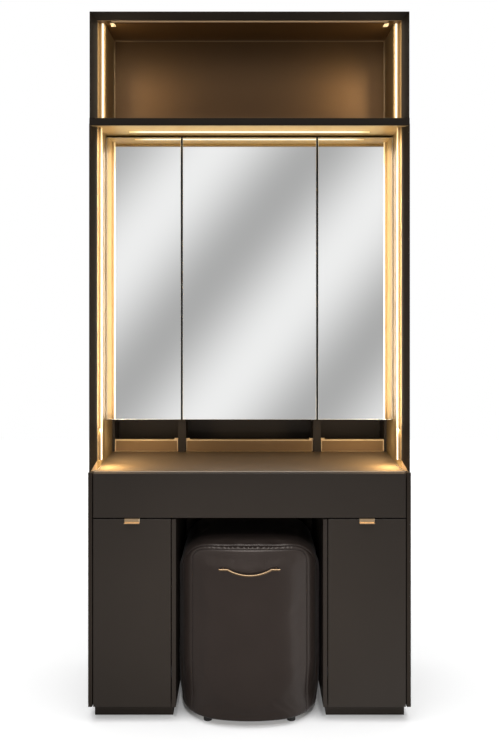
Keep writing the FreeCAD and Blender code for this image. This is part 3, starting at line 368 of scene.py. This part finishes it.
def dress_cabinet(metal, board):
    """Put each finish on the solids that have it."""
    mitre_slope, mitre_inset, highlight_width = 1.9, 0.004, 0.004
    # Painted shade on the cubby's back panel: how far it darkens at the top, and where the darkening starts
    # and is full
    top_shade_share, top_shade_low, top_shade_high = 0.65, CEILING - 0.17, CEILING - 0.02
    side_gloss = 0.06

    def wall_faces(x, y, z):
        return (abs(x) < WALL + SKIN) * (y > WALL_BRONZE)

    def wall_and_foot(x, y, z):
        mitred_foot = (z - DESK_TOP) < mitre_slope * (TABLE_HALF - mitre_inset - abs(x))
        return wall_faces(x, y, z).most(mitred_foot * (y < 0.0))

    def shelf_faces(x, y, z):
        cubby_floor = (z > SHELF_TOP - SKIN) * (abs(x) < WALL)
        underside = (z < SHELF_LOW + SKIN) * (y > CUBBY_FRONT)
        return cubby_floor.most(z < SHELF_LIP + SKIN).most(underside)

    def lid_faces(x, y, z):
        return z < CEILING + SKIN

    def every_face(x, y, z):
        return 1.0

    # Painted shade: the back panel darkens towards its top
    def painted_top_shade(shader, x, y, z):
        return top_shade_share * shader.ramp(z, top_shade_low, top_shade_high)

    # Painted highlight: a band along the rails' tops and lines at their ends, which take the paler colour
    def rail_edges(x, y, z):
        edge = z > RAIL_TOP - 2 * highlight_width
        for end in RAIL_ENDS:
            edge = edge.most(abs(abs(x) - end) < highlight_width)
        return edge

    # Painted warm light: the hutch and cubby sides take the warmer copy of the espresso lacquer
    hutch_side = panel_finish("hutch_side_lacquer", wall_and_foot, board=WARM_LIT_ESPRESSO, gloss=side_gloss)
    cubby_side = panel_finish("cubby_side_lacquer", wall_faces, board=WARM_LIT_ESPRESSO, gloss=side_gloss)
    base_side = panel_finish("base_side_lacquer", gloss=side_gloss)
    black_hinge = rolled_metal("blackened_hinge", (0.012, 0.011, 0.010), (0.020, 0.019, 0.018), 0.5)
    by_node = {
        # Painted shade: the shelf takes the darker copy of the espresso lacquer
        "hutch_shelf": panel_finish("shelf_lacquer", shelf_faces, board=SHADED_ESPRESSO, gloss=0.14),
        # Painted shade: the lid and the back panel take darker copies of the bronze lacquer, the back panel
        # darker still towards its top
        "cubby_top": panel_finish("lid_lacquer", lid_faces, SHADED_BRONZE),
        "cubby_back_panel": panel_finish("shaded_back_bronze_lacquer", every_face, SHADED_BACK_BRONZE,
                                         painted_shade=painted_top_shade),
        # Painted highlight: the desk's chamfers take a pale grey-brown; the rails' chamfers, top band and
        # ends the paler bronze
        "desktop": panel_finish("desk_lacquer", every_face, DESK_BRONZE, chamfer=DESK_EDGE_HIGHLIGHT, clear_coat=1.0),
        "niche_rails": panel_finish("rail_lacquer", every_face, RAIL_BRONZE, rail_edges, clear_coat=0.3),
        "cubby_bead": satin_bronze("smoked_bead", BEAD_BRONZE, BEAD_EDGE, 0.34),
        "stool_handle": satin_bronze("aged_bronze", HANDLE_BRONZE, HANDLE_EDGE, 0.38),
        "ceiling_clips": rolled_metal("bright_bronze", (0.80, 0.60, 0.36), (0.92, 0.72, 0.46), 0.3, 0.3),
        "hinge_pins": black_hinge,
    }
    for side in ("left", "right"):
        by_node[f"hutch_{side}_side"] = hutch_side
        by_node[f"cubby_{side}_side"] = cubby_side
        by_node[f"base_{side}_side"] = base_side
        by_node[f"{side}_hinge_fixed_leaf"] = by_node[f"{side}_hinge_wing_leaf"] = black_hinge
    by_slot = {
        "dark_lacquer": board,
        "bronze_lacquer": panel_finish("bronze_lacquer", every_face),
        "bronze_metal": metal,
        "mirror_glass": mirror_silver(),
        "steel": rolled_metal("slide_steel", (0.40, 0.40, 0.41), (0.52, 0.52, 0.53), 0.30),
        "aluminium": rolled_metal("anodised_channel", (0.25, 0.16, 0.075), (0.34, 0.23, 0.115), 0.45, 0.4),
        "light": opal_light(),
        "light_tape": light_tape(),
        "birch": birch_plywood(),
        "black_plastic": moulded_plastic(),
    }
    for entry in frame["record"]["subparts"]:
        material = by_node.get(entry["node"], by_slot.get(entry["material_slot"]))
        if material:
            materials = frame["nodes"][entry["node"]].data.materials
            materials.clear()
            materials.append(material)


# Mesh helpers
def new_piece(name, mesh, material, smooth=True):
    """A bmesh as an object in the scene."""
    data = bpy.data.meshes.new(name)
    mesh.to_mesh(data)
    mesh.free()
    data.materials.append(material)
    if smooth:
        data.shade_smooth()
    piece = bpy.data.objects.new(name, data)
    scene.collection.objects.link(piece)
    return piece


def skin(mesh, rings):
    """Join rings of points with faces and close both ends."""
    count = len(rings[0])
    for lower, upper in zip(rings, rings[1:]):
        for step in range(count):
            ahead = (step + 1) % count
            mesh.faces.new((lower[step], lower[ahead], upper[ahead], upper[step]))
    mesh.faces.new(reversed(rings[0]))
    mesh.faces.new(rings[-1])


def apply_modifiers(piece):
    """Make the piece's mesh what its modifiers show, and drop them."""
    shown = piece.evaluated_get(bpy.context.evaluated_depsgraph_get())
    data = bpy.data.meshes.new_from_object(shown)
    piece.modifiers.clear()
    piece.data = data


def points_of(mesh):
    places = np.empty(len(mesh.vertices) * 3)
    mesh.vertices.foreach_get("co", places)
    return places.reshape(-1, 3)


def set_points(mesh, places):
    mesh.vertices.foreach_set("co", places.ravel())
    mesh.update()


# Stool cover: on the plan that the solid has at the foot, with fuller corners higher up
STOOL_HALF, STOOL_DEEP, STOOL_BOW = STOOL_HIGH.x, 0.195, 0.450
STOOL_FLATS = (0.040, 0.095)
STOOL_FLAT_LEVELS = (STOOL_LOW.z + 0.01, STOOL_LOW.z + 0.15)
STOOL_SHOULDER, STOOL_EDGE, STOOL_CROWN, STOOL_DRAW, STOOL_LIFT = 0.066, 0.020, 0.012, 0.006, 0.003
STOOL_SPRING = STOOL_HIGH.z + STOOL_LIFT - STOOL_CROWN
STOOL_MIDDLE = Vector((0.0, (STOOL_LOW.y + STOOL_HIGH.y) / 2, 0.0))
PAD_SWELL, PAD_SLACK, PAD_VOXEL = 0.003, 0.0025, 0.005


def stool_ring(level, inset_x, inset_y, share, count):
    """Points round the bow-fronted plan at one level, evenly spaced."""
    arc_points = 40
    half, deep = (STOOL_HALF - inset_x) * share, (STOOL_DEEP - inset_y) * share
    bow = STOOL_BOW * share
    flat = np.interp(level, STOOL_FLAT_LEVELS, STOOL_FLATS) * share
    rise = flat + bow - deep
    corner = (bow ** 2 - half ** 2 - rise ** 2) / (2 * (bow - half))
    reach = math.atan2(rise, half - corner)
    turn = np.linspace(0.0, reach, arc_points)
    sweep = np.linspace(reach, math.pi / 2, arc_points)
    quarter = np.concatenate([
        [[half, 0.0]],
        np.column_stack([half - corner + corner * np.cos(turn), flat + corner * np.sin(turn)]),
        np.column_stack([bow * np.cos(sweep), deep - bow + bow * np.sin(sweep)])[1:],
    ])
    half_plan = np.concatenate([quarter, (quarter * [-1, 1])[::-1][1:]])
    plan = np.concatenate([half_plan, (half_plan * [1, -1])[::-1][1:]])
    run = np.concatenate([[0.0], np.cumsum(np.linalg.norm(np.diff(plan, axis=0), axis=1))])
    steps = np.linspace(0.0, run[-1], count, endpoint=False)
    across, along = (np.interp(steps, run, plan[:, axis]) for axis in range(2))
    return [STOOL_MIDDLE + Vector((a, b, level)) for a, b in zip(across, along)]


def stool_form(shrink):
    """The stool's padded body as a closed mesh, drawn in by shrink at its sides and top."""
    count, wall_rows, shoulder_rows = 220, 30, 18
    rim, wall_start = 0.86, 0.04
    foot_rows = ((0.0, 1.0), (1 / 2, 1 / 3), (3 / 2, 0.0))
    crown_rows = (1.0, 0.97, 0.92, 0.85, 0.75, 0.62, 0.48, 0.32, 0.16)
    low, spring = STOOL_LOW.z, STOOL_SPRING - shrink
    rows = [(low + STOOL_DRAW * up, STOOL_DRAW * drawn, STOOL_DRAW * drawn, 1.0) for up, drawn in foot_rows]
    for level in np.linspace(low + wall_start, spring - STOOL_SHOULDER, wall_rows):
        rows.append((level, 0.0, 0.0, 1.0))
    for turn in np.linspace(0.0, math.pi / 2, shoulder_rows)[1:-1]:
        level = spring - STOOL_SHOULDER + STOOL_SHOULDER * math.sin(turn)
        past = max(0.0, level - (spring - STOOL_EDGE)) / STOOL_EDGE
        rows.append((level, rim * STOOL_SHOULDER * (1 - math.cos(turn)),
                     rim * STOOL_EDGE * (1 - math.sqrt(1 - past ** 2)), 1.0))
    for share in crown_rows:
        level = spring + STOOL_CROWN * (1 - share ** 2)
        rows.append((level, rim * STOOL_SHOULDER, rim * STOOL_EDGE, share))
    mesh = bmesh.new()
    skin(mesh, [[mesh.verts.new(point) for point in stool_ring(level, x + shrink, y + shrink, share, count)]
                for level, x, y, share in rows])
    bmesh.ops.recalc_face_normals(mesh, faces=mesh.faces)
    return mesh


def swell(piece, voxel, most):
    """Blow the pad up as cloth, each point moving most at the most; the foot is tacked to its board."""
    pressure, steps = 4.0, 20
    remesh = piece.modifiers.new("even_mesh", "REMESH")
    remesh.mode = "VOXEL"
    remesh.voxel_size = voxel
    apply_modifiers(piece)
    before = points_of(piece.data)
    tacked = piece.vertex_groups.new(name="tacked")
    tacked.add([int(index) for index in np.flatnonzero(before[:, 2] < STOOL_LOW.z + 2 * voxel)], 1.0, "ADD")
    cloth = piece.modifiers.new("leather", "CLOTH")
    cloth.settings.use_pressure = True
    cloth.settings.uniform_pressure_force = pressure
    cloth.settings.vertex_group_mass = tacked.name
    cloth.settings.effector_weights.gravity = 0.0
    for step in range(1, steps + 1):
        scene.frame_set(step)
    shown = piece.evaluated_get(bpy.context.evaluated_depsgraph_get())
    moved = points_of(shown.data) - before
    length = np.linalg.norm(moved, axis=1, keepdims=True)
    piece.modifiers.clear()
    scene.frame_set(1)
    set_points(piece.data, before + moved * np.minimum(1.0, most / np.maximum(length, 1e-9)))
    calm = piece.modifiers.new("calm", "SMOOTH")
    calm.factor = 0.5
    calm.iterations = 10
    fine = piece.modifiers.new("fine_mesh", "SUBSURF")
    fine.levels = fine.render_levels = 1
    apply_modifiers(piece)
    piece.data.shade_smooth()


def arch(half, top, corner, low, step=0.0015):
    """Points up, over and down an arch with round corners, as across and up."""
    legs = np.arange(low, top - corner, step)
    turn = np.linspace(math.pi, math.pi / 2, int(corner * math.pi / 2 / step))
    left = np.concatenate([
        np.column_stack([np.full(len(legs), -half), legs]),
        np.column_stack([corner - half + corner * np.cos(turn), top - corner + corner * np.sin(turn)]),
    ])
    span = np.arange(corner - half + step, half - corner, step)
    top_run = np.column_stack([span, np.full(len(span), top)])
    return np.concatenate([left, top_run, (left * [-1, 1])[::-1]])


# Two sewn rows on the front and back: across, top and corner sizes as seen looking a little down
SEAM_LOOK = Vector((0.0, 0.952, -0.305))
SEAM_STAND_OFF, SEAM_FOOT, SEAM_LOWEST, SEAM_BESIDE = 0.3, 0.010, 0.008, 0.006
FACE_ROW = {"half": 0.1735, "top": 0.534, "corner": 0.030}
EDGE_ROW = {"half": 0.2055, "top": 0.547, "corner": 0.073}


def sewn_row(tree, row, facing):
    """An arch thrown on to the cover's front (facing -1) or back (1): its points and normals."""
    look = Vector((0.0, -facing * SEAM_LOOK.y, SEAM_LOOK.z))
    face = STOOL_MIDDLE.y + facing * STOOL_DEEP
    run = []
    for across, up in arch(low=STOOL_LOW.z + SEAM_FOOT, **row):
        place, normal, _, _ = tree.ray_cast(Vector((across, face, up)) - SEAM_STAND_OFF * look, look)
        if place is not None and place.z > STOOL_LOW.z + SEAM_LOWEST:
            run.append((place, normal))
    return run


def distances(run, places):
    """How far each place is from the nearest point of a run."""
    tree = KDTree(len(run))
    for index, (place, _) in enumerate(run):
        tree.insert(place, index)
    tree.balance()
    return np.array([tree.find(place)[2] for place in places])


def refine(cover, rows):
    """Split the faces beside the sewn rows, fine enough for a seam."""
    mesh = bmesh.new()
    mesh.from_mesh(cover.data)
    runs = [point for pair in rows for run in pair for point in run]
    off = distances(runs, [vertex.co for vertex in mesh.verts])
    beside = [edge for edge in mesh.edges
              if all(off[vertex.index] < SEAM_BESIDE for vertex in edge.verts)]
    bmesh.ops.subdivide_edges(mesh, edges=beside, cuts=2, use_grid_fill=True)
    mesh.to_mesh(cover.data)
    mesh.free()
    cover.data.shade_smooth()


def sew(cover, rows):
    """Draw the leather in along the sewn rows and gather it between the two rows at the top edge."""
    grooves = ((0.0020, 0.0013), (0.0009, 0.0045))
    gather_depth, gather_pitch, gather_half, gather_fade = 0.0015, 0.0150, 0.12, 1.3
    drift_pitch, drift_size = 0.061, 1.2
    band_width, band_reach = 0.010, 0.026
    places = points_of(cover.data)
    normals = np.empty(places.size)
    cover.data.vertex_normals.foreach_get("vector", normals)
    depth = np.zeros(len(places))
    for face_row, edge_row in rows:
        off_face, off_edge = distances(face_row, places), distances(edge_row, places)
        for off in (off_face, off_edge):
            for deep, wide in grooves:
                depth += deep * np.exp(-(off / wide) ** 2)
        across = places[:, 0]
        drift = drift_size * np.sin(across * 2 * math.pi / drift_pitch)
        gather = np.sin(across * 2 * math.pi / gather_pitch + drift)
        band = np.exp(-((off_face - off_edge) / band_width) ** 2) * (off_face + off_edge < band_reach)
        fade = np.clip(gather_fade - np.abs(across) / gather_half, 0.0, 1.0)
        depth += gather_depth * gather * band * fade
    set_points(cover.data, places - normals.reshape(-1, 3) * depth[:, None])


def stitches(rows, thread):
    """Short thread capsules along every sewn row, as one piece."""
    pitch, length, radius, sides = 0.0048, 0.0032, 0.00055, 6
    sunk, longest_step = 0.0022, 0.01
    outline = ((-0.5, 0.35), (-0.36, 1.0), (0.36, 1.0), (0.5, 0.35))
    turns = [2 * math.pi * side / sides for side in range(sides)]
    mesh = bmesh.new()
    for run in (run for pair in rows for run in pair):
        walked = 0.0
        for (here, normal), (there, _) in zip(run, run[1:]):
            step = there - here
            if step.length > longest_step:
                continue
            walked += step.length
            if walked < pitch:
                continue
            walked -= pitch
            along = step.normalized()
            beside = along.cross(normal).normalized()
            middle = here - normal * sunk
            around = [math.cos(turn) * beside + math.sin(turn) * normal for turn in turns]
            skin(mesh, [[mesh.verts.new(middle + along * length * offset + radius * girth * out)
                         for out in around] for offset, girth in outline])
    bmesh.ops.recalc_face_normals(mesh, faces=mesh.faces)
    piece = new_piece("stool_stitching", mesh, thread)
    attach(piece, "stool")


def stool_cover():
    """The sewn leather cover in place of the padded solid."""
    cover = new_piece("stool_leather_cover", stool_form(PAD_SWELL), stool_leather())
    swell(cover, PAD_VOXEL, PAD_SWELL + PAD_SLACK)
    tree = BVHTree.FromPolygons([vertex.co for vertex in cover.data.vertices],
                                [polygon.vertices for polygon in cover.data.polygons])
    rows = [[sewn_row(tree, row, facing) for row in (FACE_ROW, EDGE_ROW)] for facing in (-1, 1)]
    refine(cover, rows)
    sew(cover, rows)
    stitches(rows, stitch_thread())
    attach(cover, "stool")
    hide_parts("stool_upholstery")


def foot_bead(side, metal, board):
    """A dark fillet with a row of bronze beads, on the desktop along the foot of a hutch side."""
    inset, flare, bead, pitch = 0.003, 0.010, 0.0015, 0.0052
    start_back, bend_back, end_back = 0.002, 0.026, 0.100
    beside, rise, slope = Vector((0.0022, 0.0, 0.0)), Vector((0.0, 0.0, 0.0006)), 0.8
    name = "left" if side < 0 else "right"
    across = WALL - inset
    route = [Vector((side * out, DESK_FRONT + back, DESK_TOP))
             for out, back in ((across + flare, start_back), (across, bend_back), (across, end_back))]
    beads = bmesh.new()
    for start, end in zip(route, route[1:]):
        count = int((end - start).length / pitch)
        for step in range(count):
            ball = bmesh.ops.create_uvsphere(beads, u_segments=10, v_segments=6, radius=bead)
            bmesh.ops.translate(beads, verts=ball["verts"], vec=start.lerp(end, (step + 0.5) / count))
    piece = new_piece(f"{name}_foot_bead", beads, metal)
    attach(piece, "cabinet")
    fillet = bmesh.new()
    section = (-beside, rise - slope * beside, rise + slope * beside, beside)
    skin(fillet, [[fillet.verts.new(point + offset) for offset in section] for point in route])
    bmesh.ops.recalc_face_normals(fillet, faces=fillet.faces)
    piece = new_piece(f"{name}_foot_fillet", fillet, board, smooth=False)
    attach(piece, "cabinet")


# Light, floor and camera
def lamp(name, kind, aim, energy, colour=WHITE, place=(0.0, 0.0, 0.0), shines=True):
    """A lamp that the camera does not see; one that shines shows in polished surfaces."""
    light = bpy.data.lights.new(name, kind)
    light.energy = energy
    light.color = colour
    holder = bpy.data.objects.new(name, light)
    holder.location = place
    holder.rotation_euler = Vector(aim).to_track_quat("-Z", "Y").to_euler()
    holder.visible_camera = False
    holder.visible_glossy = shines
    scene.collection.objects.link(holder)
    return light


def strip(name, aim, energy, place, width, height, colour=WARM_WHITE, spread=180, shines=True):
    """A rectangular lamp; the height runs up, or back when it aims straight up or down."""
    light = lamp(name, "AREA", aim, energy, colour, place, shines)
    light.shape = "RECTANGLE"
    light.size, light.size_y = width, height
    light.spread = math.radians(spread)


def by_wall(side, inset, back, up):
    """A place inset from the left (-1) or right (1) wall and back from the cubby's front."""
    return side * (WALL - inset), CUBBY_FRONT + back, up


def strip_lights():
    """The light that the lit channels throw on the bronze round them."""
    low, high = DESK_TOP + 0.025, SHELF_LOW - 0.040
    cubby_middle, cubby_tall = (SHELF_TOP + CEILING) / 2, CEILING - SHELF_TOP
    stretches = (("foot", low, MIRROR_LOW, 0.45), ("side", MIRROR_LOW, high, 1.95))
    front_share, front_inset, front_back, narrow = 0.44, 0.030, 0.0385, 66
    for side, name, cubby_back in ((-1, "left", 0.075), (1, "right", 0.145)):
        for part, base, top, watts in stretches:
            tall, middle = top - base, (base + top) / 2
            strip(f"{name}_{part}_wall_wash", (side, 0.0, 0.0), watts * tall,
                  by_wall(side, 0.037, 0.0885, middle), 0.02, tall)
            strip(f"{name}_{part}_front_wash", (side, 0.1, 0.0), front_share * watts * tall,
                  by_wall(side, front_inset, front_back, middle), 0.02, tall, spread=narrow)
        strip(f"{name}_corner_wash", (side, 0.1, 0.0), 0.012,
              by_wall(side, front_inset, front_back, high + 0.015), 0.02, 0.03, spread=narrow)
        strip(f"{name}_niche_wash", (-0.7 * side, 1.0, 0.0), 0.34,
              by_wall(side, 0.036, 0.1275, DESK_TOP + 0.075), 0.010, 0.08, shines=False)
        strip(f"{name}_desk_wash", (-0.6 * side, 0.1, -0.8), 0.52,
              by_wall(side, 0.047, 0.0525, low + 0.126), 0.006, 0.112, AMBER_WHITE, shines=False)
        strip(f"{name}_desk_glow", (-0.9 * side, 0.0, -1.0), 0.80,
              by_wall(side, 0.024, 0.0535, low + 0.025), 0.010, 0.03, AMBER_WHITE, shines=False)
        strip(f"{name}_cubby_wall_wash", (side, 0.0, 0.0), 0.05,
              by_wall(side, 0.028, 0.0395, cubby_middle), 0.01, cubby_tall, spread=120)
        strip(f"{name}_cubby_back_wash", (-1.05 * side, 1.0, 0.0), cubby_back,
              by_wall(side, 0.025, 0.0635, cubby_middle - 0.03), 0.006, 0.18, AMBER_WHITE, narrow)
        strip(f"{name}_cubby_lining_wash", (-side, 0.2, 0.0), 0.36,
              by_wall(side, 0.027, 0.0575, cubby_middle), 0.006, 0.28, shines=False)
        strip(f"{name}_lining_front_wash", (0.0, 1.0, 0.0), 0.018,
              by_wall(side, CUBBY_LIGHT_INSET, 0.0395, cubby_middle), 0.006, cubby_tall, spread=110)
        strip(f"{name}_lining_edge_wash", (side, 1.2, 0.0), 0.09,
              by_wall(side, 0.027, 0.0495, cubby_middle), 0.004, cubby_tall)
    strip("shelf_wash", (0.0, 0.0, 1.0), 0.92, (0.0, CUBBY_FRONT + 0.0825, SHELF_LOW - 0.06),
          0.88, 0.03, YELLOW_WHITE)


def studio_floor():
    """A white floor that keeps the table's shadow, with painted shade in the kneehole; in mirrors it shows
    a painted reflection, half dark.
    """
    floor_half, mirror_edge = 4.4, 0.12
    knee_lit, knee_dim, back_fade, side_fade = -0.18, -0.10, 0.05, 0.03
    mesh = bmesh.new()
    bmesh.ops.create_grid(mesh, x_segments=4, y_segments=4, size=floor_half)
    material, shader = finish("studio_floor")
    point = shader.place()
    x, y, _ = shader.split(point)
    along = shader.ramp(y, knee_lit, knee_dim) * shader.ramp(y, TABLE_BACK, TABLE_BACK - back_fade)
    # Painted shade: the floor's whitening glow is taken out in the kneehole, so it shows darker there
    kneehole = along * shader.ramp(abs(x), STOOL_HALF + side_fade, STOOL_HALF)
    lit = shader.node("ShaderNodeLightPath", output="Is Camera Ray") * (1.0 - kneehole)
    glossy = shader.node("ShaderNodeLightPath", output="Is Glossy Ray")
    speck = shader.noise(point, 40.0, 2.0)
    # Painted reflection: to glossy rays the floor is dark on one side and white on the other, which puts a
    # highlight on the stool's right side
    painted_reflection = shader.mix(shader.ramp(x + 0.8 * y, -mirror_edge, mirror_edge), (0.28,) * 3, WHITE)
    colour = shader.mix(glossy, shader.mix(speck, (0.80,) * 3, (0.82,) * 3), painted_reflection)
    shader.surface(Base_Color=colour, Roughness=1.0, Specular_IOR_Level=0.0,
                   Emission_Color=shader.mix(lit, BLACK, WHITE), Emission_Strength=0.22)
    new_piece("studio_floor", mesh, material, smooth=False)


def studio_room():
    """A white room that gives soft light and shows in mirrors as pale slanting bands."""
    band_start, bands_across, bands_up, nearest = 0.731, 3.80, 3.07, 0.2
    soft_level, shown_level, band_level = 0.15, 0.52, 0.234
    world = bpy.data.worlds.new("studio_room")
    world.use_nodes = True
    scene.world = world
    room = Shader(world.node_tree)
    across, depth, up = room.split(room.node("ShaderNodeTexCoord", output="Generated"))
    ahead = abs(depth).most(nearest)
    phase = band_start + bands_across * (across / ahead) - bands_up * (up / ahead)
    bands = phase.maths("COSINE", phase * (2 * math.pi))
    glossy = room.node("ShaderNodeLightPath", output="Is Glossy Ray")
    seen = room.node("ShaderNodeLightPath", output="Is Camera Ray")
    through = room.node("ShaderNodeLightPath", output="Is Transmission Ray")
    soft = soft_level + glossy * (shown_level + band_level * bands)
    level = soft.most(seen.most(through))
    light = room.node("ShaderNodeBackground", (), {"Color": room.mix(level, BLACK, WHITE), "Strength": 1.0})
    room.node("ShaderNodeOutputWorld", (), {"Surface": light})


def daylight():
    """A wide light from above, a sharper one from the front, and a low one on the base and stool."""
    for name, aim, energy, angle in (("top_light", (0.0, 0.12, -0.99), 2.45, 55),
                                     ("key_light", (-0.03, 0.63, -0.77), 0.8, 6)):
        sun = lamp(name, "SUN", aim, energy)
        sun.angle = math.radians(angle)
    strip("front_light", (0.0, 1.0, 0.0), 2.6, (0.0, -2.3, 0.36), 1.0, 0.4, WHITE, 36, shines=False)


def photograph_camera():
    """The photograph's view: level, with the picture shifted down to take in the floor."""
    camera = bpy.data.cameras.new("camera")
    camera.sensor_width = 36.0
    camera.lens = 38.34
    camera.shift_y = -0.1107
    view = bpy.data.objects.new("camera", camera)
    view.location = (0.0, -2.5795, 1.294)
    view.rotation_euler = (math.pi / 2, 0.0, 0.0)
    scene.collection.objects.link(view)
    scene.camera = view


photograph_camera()
studio_floor()
studio_room()
daylight()
strip_lights()
bronze = satin_bronze("satin_bronze")
lacquer = panel_finish("espresso_lacquer")
dress_cabinet(bronze, lacquer)
stool_cover()
for hutch_side in (-1, 1):
    foot_bead(hutch_side, bronze, lacquer)
